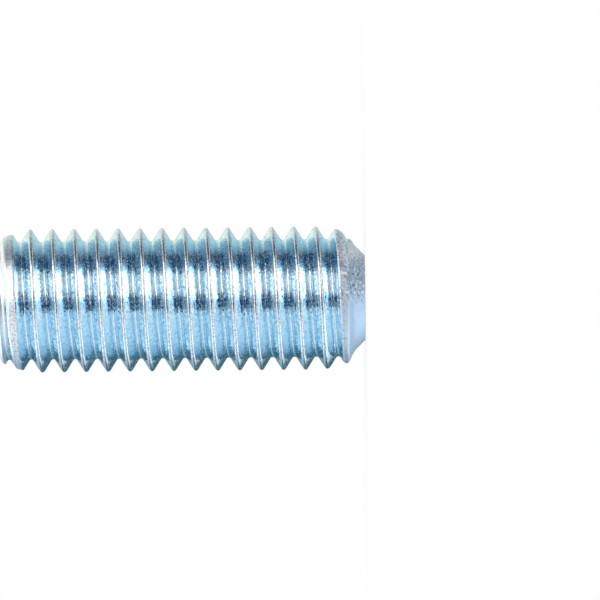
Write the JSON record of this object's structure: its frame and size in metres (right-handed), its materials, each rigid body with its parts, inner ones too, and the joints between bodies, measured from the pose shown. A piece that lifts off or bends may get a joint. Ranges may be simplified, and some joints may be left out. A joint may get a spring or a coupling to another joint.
{
  "type": "grub set screw",
  "caption": "Headless set screw with a right-hand metric thread along its whole length, a hexagon socket in one end and a cup point at the other, zinc plated.",
  "frame": {"origin": "on the screw's axis, in the plane of the point's rim, on which it stands", "axes": "+Z along the axis from the point to the socket end; +X to the side where a crest of the thread is 0.35 mm above the rim's plane"},
  "size_m": [0.0098, 0.0098, 0.025],
  "materials": {
    "zinc_plate": "bright zinc plate with a pale blue passivate, finely speckled"
  },
  "bodies": {
    "root": {"set_screw": "zinc_plate"}
  },
  "joints": []
}
